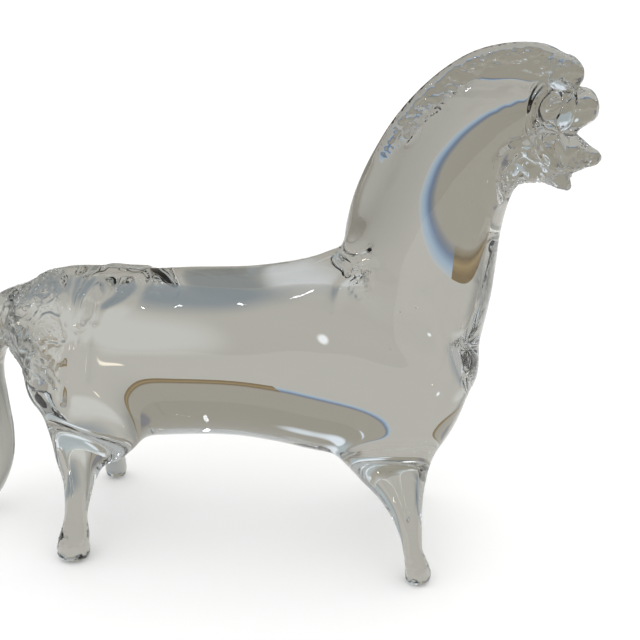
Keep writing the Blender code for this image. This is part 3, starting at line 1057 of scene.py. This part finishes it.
# %% Sheets that only the glass sees
def glow(name, lay_tones, *tones):
    """A material that glows evenly in the colours that a function lays over the sheet."""
    material = bpy.data.materials.new(name)
    material.use_nodes = True
    tree = material.node_tree
    tree.nodes.clear()
    place = add_node(tree, "ShaderNodeTexCoord").outputs["Object"]
    light = add_node(tree, "ShaderNodeEmission", [
        (lay_tones(tree, place, *tones), "Color"),
        (1.0, "Strength"),
    ])
    add_node(tree, "ShaderNodeOutputMaterial", [(light.outputs[0], "Surface")])
    return material


def only_through_glass(sheet):
    for sight in ("camera", "diffuse", "glossy", "shadow", "volume_scatter"):
        setattr(sheet, "visible_" + sight, False)


SHEET_HEIGHT = -0.0004
EDGE_END = TABLE_EDGE + EDGE_DEPTH
# low corner and high corner in metres, and what glows there
SHEETS = {
    "table_top": ((-1.5, -0.6), (1.5, TABLE_EDGE), glow("table_grey_shade_and_light", spotted, TABLE_GREY, TABLE_SHADE_LIGHT_AND_TONES)),
    "table_edge": ((EDGE_SPLIT, TABLE_EDGE), (1.5, EDGE_END), glow("edge_blue", banded, BLUE_EDGE)),
    "gilt_edge": ((-1.5, TABLE_EDGE), (EDGE_SPLIT, EDGE_END), glow("edge_gilt", banded, GILT_EDGE)),
    "far_floor": ((-8, EDGE_END), (8, 12), glow("far_taupe", spotted, FAR_TAUPE, FAR_TONES)),
}
for name, (near_corner, far_corner, glowing) in SHEETS.items():
    sheet = flat_sheet(name, near_corner, far_corner, SHEET_HEIGHT, glowing)
    only_through_glass(sheet)
    print(name, "runs from", near_corner, "to", far_corner, "m")

# %% The room
ROOM_TAUPE = "#908c80"
# azimuth from straight behind the horse towards its head, elevation, reach, all in degrees, and tone
ROOM_TONES = [
    (180, 20, 75, "#aaaaa5"),
    (-90, 12, 42, "#aaaba8"),
    (0, 90, 42, "#aaaeaf"),
    (40, 14, 34, "#a4afb3"),
    (95, 0, 30, "#858885"),
    (20, 31, 13, "#e6eff8"),
    (3, 14, 5, "#dfe9f2"),
    (-34, 4, 8, "#727277"),
    (-40, 38, 4, "#ffffff"),
    (-12, 52, 4, "#f4f8ff"),
    (52, 44, 5, "#ffffff"),
    (76, 28, 4, "#fff4e2"),
    (-78, 24, 4, "#e8f0ff"),
]
ROOM_RIM = 5.0  # degrees, or a third of the reach where that is less
SKY_STRENGTH = 1.25


def direction(azimuth, elevation):
    turn, rise = math.radians(azimuth), math.radians(elevation)
    return Vector((math.sin(turn) * math.cos(rise), math.cos(turn) * math.cos(rise), math.sin(rise)))


def room_world():
    world = bpy.data.worlds.new("studio")
    bpy.context.scene.world = world
    world.use_nodes = True
    tree = world.node_tree
    tree.nodes.clear()
    path = add_node(tree, "ShaderNodeLightPath")
    seen = add_node(tree, "ShaderNodeMath", [
        (path.outputs["Is Transmission Ray"], 0),
        (path.outputs["Is Glossy Ray"], 1),
    ], operation="MAXIMUM")
    way = add_node(tree, "ShaderNodeTexCoord").outputs["Generated"]
    colour = linear(ROOM_TAUPE)
    for azimuth, elevation, reach, tone in ROOM_TONES:
        towards = add_node(tree, "ShaderNodeVectorMath", [
            (way, 0),
            (direction(azimuth, elevation), 1),
        ], operation="DOT_PRODUCT")
        rim = min(ROOM_RIM, reach / 3)
        share = add_node(tree, "ShaderNodeMapRange", [
            (towards.outputs["Value"], "Value"),
            (math.cos(math.radians(reach + rim)), "From Min"),
            (math.cos(math.radians(reach - rim)), "From Max"),
        ], interpolation_type="SMOOTHSTEP")
        colour = add_node(tree, "ShaderNodeMix", [
            (share.outputs[0], 0),
            (colour, 6),
            (linear(tone), 7),
        ], data_type="RGBA").outputs[2]
    sky = add_node(tree, "ShaderNodeBackground", [(linear("#ffffff"), "Color"), (SKY_STRENGTH, "Strength")])
    room = add_node(tree, "ShaderNodeBackground", [(colour, "Color"), (1.0, "Strength")])
    mix = add_node(tree, "ShaderNodeMixShader", [
        (seen.outputs[0], 0),
        (sky.outputs[0], 1),
        (room.outputs[0], 2),
    ])
    add_node(tree, "ShaderNodeOutputWorld", [(mix.outputs[0], "Surface")])
    print("room tones:", len(ROOM_TONES) + 1)


room_world()

# %% Small lamps and windows
LAMP_DISTANCE = 1.5
LAMP_AIM = Vector((0, 0, 0.1))


def lamp(name, azimuth, elevation, width, height, brightness, tone):
    """A small rectangular light that faces the horse. Brightness is in times white paper."""
    light = bpy.data.lights.new(name, "AREA")
    light.shape = "RECTANGLE"
    light.size = width
    light.size_y = height
    light.energy = brightness * math.pi * width * height
    light.color = linear(tone)[:3]
    fitting = bpy.data.objects.new(name, light)
    fitting.location = direction(azimuth, elevation) * LAMP_DISTANCE + LAMP_AIM
    fitting.rotation_euler = (LAMP_AIM - fitting.location).to_track_quat("-Z", "Y").to_euler()
    fitting.visible_camera = False
    bpy.context.scene.collection.objects.link(fitting)
    print(name, "gives", round(light.energy, 2), "W")


lamp("high_window", -149, 55, 0.03, 0.08, 30, "#f4f8ff")
lamp("left_window", -80, 46, 0.05, 0.08, 18, "#eef4ff")
lamp("right_window", 66, 18, 0.12, 0.08, 14, "#ffffff")
lamp("low_lamp", -136, 2, 0.05, 0.07, 24, "#fff1d8")

# %% [markdown]
# ## Camera
# The photograph looks down on the near side of the horse from a little in front of square.

# %% Camera
PHOTO_AZIMUTH = 7.0
PHOTO_ELEVATION = 20.0
CAMERA_DISTANCE = 500
CAMERA_TARGET = np.array([0.0, 0.0, 107.5]) - ORIGIN * (1, 1, 0)
FOCAL_PIXELS = 1100
FRAME_PIXELS = 640
SENSOR = 36.0

camera_data = bpy.data.cameras.new("camera")
camera_data.sensor_width = SENSOR
camera_data.lens = SENSOR * FOCAL_PIXELS / FRAME_PIXELS
camera_data.clip_start = 0.01
camera = bpy.data.objects.new("camera", camera_data)
turn = math.radians(PHOTO_AZIMUTH)
rise = math.radians(PHOTO_ELEVATION)
back = np.array([math.sin(turn) * math.cos(rise), -math.cos(turn) * math.cos(rise), math.sin(rise)])
place = Vector((CAMERA_TARGET + back * CAMERA_DISTANCE) * MM)
camera.location = place
camera.rotation_euler = (Vector(CAMERA_TARGET * MM) - place).to_track_quat("-Z", "Y").to_euler()
bpy.context.scene.collection.objects.link(camera)
bpy.context.scene.camera = camera
bpy.context.scene.view_settings.view_transform = "Standard"
print("camera, m:", tuple(round(value, 3) for value in place))

# %% Sizes
print("skin faces:", len(horse.data.polygons))
